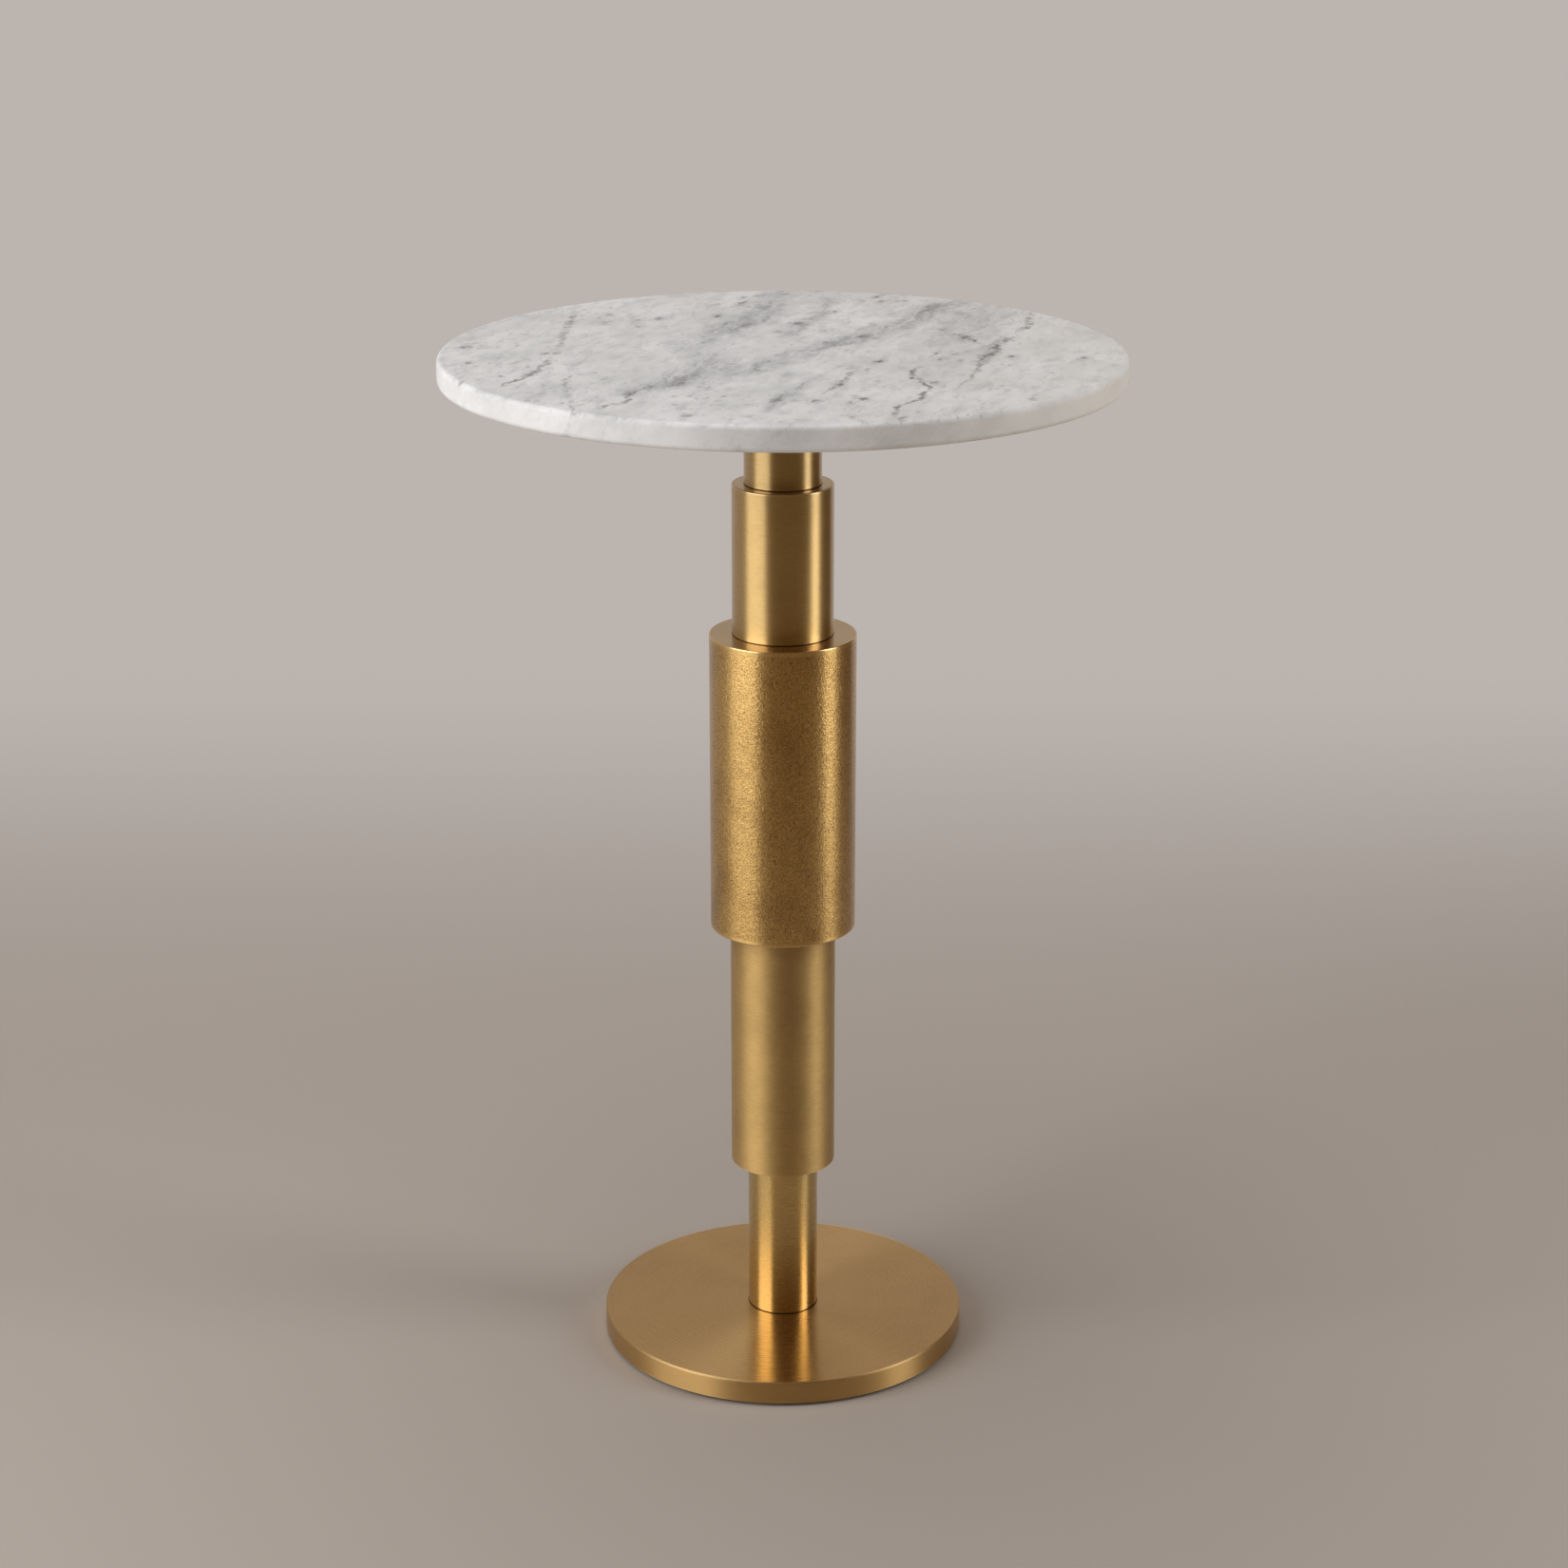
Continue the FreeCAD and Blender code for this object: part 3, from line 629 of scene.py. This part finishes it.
def makeDrum():
    # the wall is let in by a shallow bowl at each mark, depth * (1 - (distance / bowlReach)^2), and by a
    # slow unevenness, the mean of a few cosines that close round the drum; both fade out at the ends
    outer, bottom, top = spanOf("drum_shell")[1:]
    margin, girth = drum["margin"], 2 * math.pi * outer
    rowZ = np.arange(bottom + margin, top - margin, drum["pitch"])
    segments = round(girth / drum["pitch"])
    outline = tubeOutline("drum_shell", "drum_top_cap", "drum_bottom_cap", rowZ)
    turn, height = np.meshgrid(np.arange(segments) / segments, outline[:, 1], indexing="xy")
    distance = nearestMark(turn * girth, height - bottom, girth, top - bottom, drum["cell"], drum["seed"])
    bowl = np.clip(1 - (distance / drum["bowlReach"]) ** 2, 0, 1)
    random, waves = np.random.default_rng(drum["seed"] + 1), drum["waves"]
    lobeCounts = random.integers(*drum["lobes"], waves)
    rates = random.normal(0, drum["rate"], waves)
    phases = random.random(waves) * 2 * math.pi
    uneven = np.zeros_like(turn)
    for lobes, rate, phase in zip(lobeCounts, rates, phases):
        uneven += (1 + np.cos(2 * math.pi * lobes * turn + rate * height + phase)) / 2 / waves
    fade = np.clip(np.minimum(height - bottom, top - height) / margin - drum["plainShare"], 0, 1)
    wall = np.isclose(outline[:, :1], outer)
    sunk = wall * fade * (drum["depth"] * bowl + drum["wave"] * uneven)
    lathePiece("drum", "drum_shell", hammeredBrass, outline, segments, sunk=sunk)


makeDrum()
print("drum beaten")


# Foot: a thick disc with a rounded upper rim, on a rubber glide let into its underside

foot = dict(topArris=0.9 * mm, lowArris=0.5 * mm, segments=320, wellPlay=2.0 * mm, glidePlay=0.3 * mm,
            glideArris=0.6 * mm, eye=2 * mm)


def makeFoot():
    # outline of the foot, with the well for the rod's nut and the glide's recess below
    hole, outer, bottom, top = spanOf("base_plate")
    glideTop = spanOf("base_glide")[3]
    recess = spanOf("base_glide")[1] + foot["glidePlay"]
    well, wellTop = spanOf("base_washer")[1] + foot["wellPlay"], spanOf("base_washer")[3]
    # the ring round the stem and the top inside it are painted dark as shade in the joint
    stem, ring = spanOf("stem_tube")[1], column["jointShadeRing"]
    outline = roundedOutline([
        (hole, wellTop), (well, wellTop), (well, glideTop), (recess, glideTop), (recess, bottom),
        (outer, bottom, foot["lowArris"]), (outer, top, foot["topArris"]),
        (stem + ring, top), (stem + ring / 2, top, 0, -1), (hole, top, 0, -1)], arcSteps=8)
    lathePiece("foot", "base_plate", turnedBrass, outline, foot["segments"])


def makeGlide():
    # outline of the rubber disc, from the middle of its underside to the middle of its top
    outer, bottom, top = spanOf("base_glide")[1:]
    eye, arris = foot["eye"], foot["glideArris"]
    outline = roundedOutline([(eye, bottom), (outer, bottom, arris), (outer, top, arris), (eye, top)])
    lathePiece("glide", "base_glide", hardware["blackRubberSheet"], outline, foot["segments"],
               capped=True)


makeFoot()
makeGlide()
print("foot and glide made")


# Hardware: CAD pieces that keep their shape

hardwareFinishes = {
    "zincPlatedSteel": ["top_boss", "top_screws", "top_screw_washers", "tie_rod", "rod_lock_nut",
                        "stem_foot_plug", "base_washer", "base_lock_washer", "base_nut"],
    "blackPowderCoat": ["top_plate"],
    "blackRubberSheet": ["top_gasket"],
    "turnedInsertBrass": ["marble_inserts"],
}
for finish, nodes in hardwareFinishes.items():
    for node in nodes:
        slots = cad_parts[node].data.materials
        slots.clear()
        slots.append(hardware[finish])
print("hardware dressed:", sum(map(len, hardwareFinishes.values())))


# Stage: a pale floor that curves up into a wall, well behind the object. Behind the object and far from
# it on all sides, eye and metal see floor, wall and room in one pale colour that sheds no light on the
# object, apart from where the screens below stand in the metal's way

stage = dict(floor="#B5A99C", wall="#BCB4AF", roughness=0.9, behind=(0.2, 1.5), far=(0.95, 1.75),
             front=-5.0, wallY=3.4, sweep=0.9, wallTop=4.0, halfWidth=6.0, steps=16)


def seenRays(tree):
    # 1 for the rays that the eye, a mirror or a glass sends out, 0 for the rays that light a surface
    rays = addNode(tree, "LightPath").outputs
    seen = addNode(tree, "Math", {0: rays["Is Camera Ray"], 1: rays["Is Glossy Ray"]}, operation="ADD")
    return addNode(tree, "Math", {0: seen, 1: rays["Is Transmission Ray"]}, operation="ADD", use_clamp=True)


def makeBackdrop():
    # profile carried along X: floor, a quarter circle, wall
    bend = np.linspace(0, math.pi / 2, stage["steps"])
    sweep = stage["sweep"]
    y = np.concatenate([[stage["front"]], stage["wallY"] - sweep + sweep * np.sin(bend), [stage["wallY"]]])
    z = np.concatenate([[0], sweep - sweep * np.cos(bend), [stage["wallTop"]]])
    x = np.array([-stage["halfWidth"], stage["halfWidth"]])
    grid = np.stack([np.broadcast_to(x, (len(y), 2)), np.stack([y, y], 1), np.stack([z, z], 1)], -1)
    k = np.arange(len(y) - 1) * 2
    mesh = bpy.data.meshes.new("backdrop")
    mesh.from_pydata(grid.reshape(-1, 3), [], np.stack([k, k + 1, k + 3, k + 2], 1).tolist())
    mesh.shade_smooth()
    material, tree, surface = newMaterial("mattPaintedPaper")
    paper = addNode(tree, "BsdfPrincipled", {"Base Color": linear(stage["floor"]),
                                             "Roughness": stage["roughness"]})
    glow = addNode(tree, "Emission", {"Color": linear(stage["wall"])})
    place = addNode(tree, "TexCoord").outputs["Object"]
    back = addNode(tree, "SeparateXYZ", {0: place}).outputs["Y"]
    away = addNode(tree, "VectorMath", {0: place}, operation="LENGTH").outputs["Value"]
    fades = []
    for value, (start, end) in ((back, stage["behind"]), (away, stage["far"])):
        fades.append(addNode(tree, "MapRange", {"Value": value, "From Min": start, "From Max": end},
                             interpolation_type="SMOOTHSTEP"))
    share = addNode(tree, "Math", {0: fades[0], 1: fades[1]}, operation="MAXIMUM")
    share = addNode(tree, "Math", {0: share, 1: seenRays(tree)}, operation="MULTIPLY")
    both = addNode(tree, "MixShader", {0: share, 1: paper, 2: glow})
    tree.links.new(both.outputs[0], surface)
    mesh.materials.append(material)
    backdrop = bpy.data.objects.new("backdrop", mesh)
    bpy.context.scene.collection.objects.link(backdrop)


makeBackdrop()


# Screens that glow with the dim colour of cloth, lit by nothing, in front of the object and on its right:
# only reflections see them, and camera, diffuse light and shadows don't, so on those sides the metal
# mirrors them in place of the pale background and gets dark bands between its highlights

screens = dict(colour="#66523A", radius=1.1, top=2.6, steps=24, spans=[(-38, 66), (88, 135)])


def makeScreens():
    # each is an arc round the axis, its span in degrees from the front towards the right
    material, tree, surface = newMaterial("dimGlowingScreen")
    dimGlow = addNode(tree, "Emission", {"Color": linear(screens["colour"])})
    tree.links.new(dimGlow.outputs[0], surface)
    for number, span in enumerate(screens["spans"]):
        turn = np.radians(np.linspace(*span, screens["steps"]))
        arc = np.stack([np.sin(turn), -np.cos(turn), 0 * turn], 1) * screens["radius"]
        points = np.concatenate([arc, arc + (0, 0, screens["top"])])
        k = np.arange(len(arc) - 1)
        mesh = bpy.data.meshes.new(f"screen{number}")
        mesh.from_pydata(points, [], np.stack([k, k + 1, k + 1 + len(arc), k + len(arc)], 1).tolist())
        mesh.materials.append(material)
        screen = bpy.data.objects.new(f"screen{number}", mesh)
        screen.visible_camera = screen.visible_diffuse = screen.visible_shadow = False
        bpy.context.scene.collection.objects.link(screen)


makeScreens()

# Lights: a broad softbox on the left, a narrow one on the right and a soft one overhead

softboxes = [
    dict(name="leftSoftbox", place=(-1.60, -0.82, 1.00), aim=(0, 0, 0.45), size=(1.70, 1.8), power=34.5),
    dict(name="rightSoftbox", place=(1.66, -0.37, 1.00), aim=(0, 0, 0.45), size=(0.62, 1.8), power=17.2),
    dict(name="topSoftbox", place=(-0.30, 0.30, 2.60), aim=(0, 0, 0.40), size=(2.0, 2.0), power=22.5),
]
lampColour = "#F3F7FF"
for box in softboxes:
    lamp = bpy.data.lights.new(box["name"], "AREA")
    lamp.shape = "RECTANGLE"
    lamp.size, lamp.size_y = box["size"]
    lamp.energy = box["power"]
    lamp.color = linear(lampColour)[:3]
    holder = bpy.data.objects.new(box["name"], lamp)
    holder.location = box["place"]
    holder.rotation_euler = (Vector(box["aim"]) - Vector(box["place"])).to_track_quat("-Z", "Y").to_euler()
    holder.visible_camera = False
    bpy.context.scene.collection.objects.link(holder)

room = dict(colour="#564939", strength=1.0)
world = bpy.data.worlds.new("dimStudio")
world.use_nodes = True
tree = world.node_tree
tree.nodes.clear()
shown = addNode(tree, "Mix", {0: seenRays(tree), 6: linear(room["colour"]), 7: linear(stage["wall"])},
                data_type="RGBA")
sky = addNode(tree, "Background", {"Color": shown.outputs[2], "Strength": room["strength"]})
addNode(tree, "OutputWorld", {"Surface": sky})
bpy.context.scene.world = world

# Camera: fitted to the ellipses of the top, the drum and the foot

camera = dict(place=(0.00068, -1.9625, 1.0110), pitch=18.349, lens=78.68, sensor=36.0)
lens = bpy.data.cameras.new("camera")
lens.lens, lens.sensor_width = camera["lens"], camera["sensor"]
eye = bpy.data.objects.new("camera", lens)
eye.location = camera["place"]
eye.rotation_euler = (math.radians(90 - camera["pitch"]), 0, 0)
bpy.context.scene.collection.objects.link(eye)
bpy.context.scene.camera = eye
bpy.context.scene.view_settings.view_transform = "Standard"
print("stage, lights and camera set")
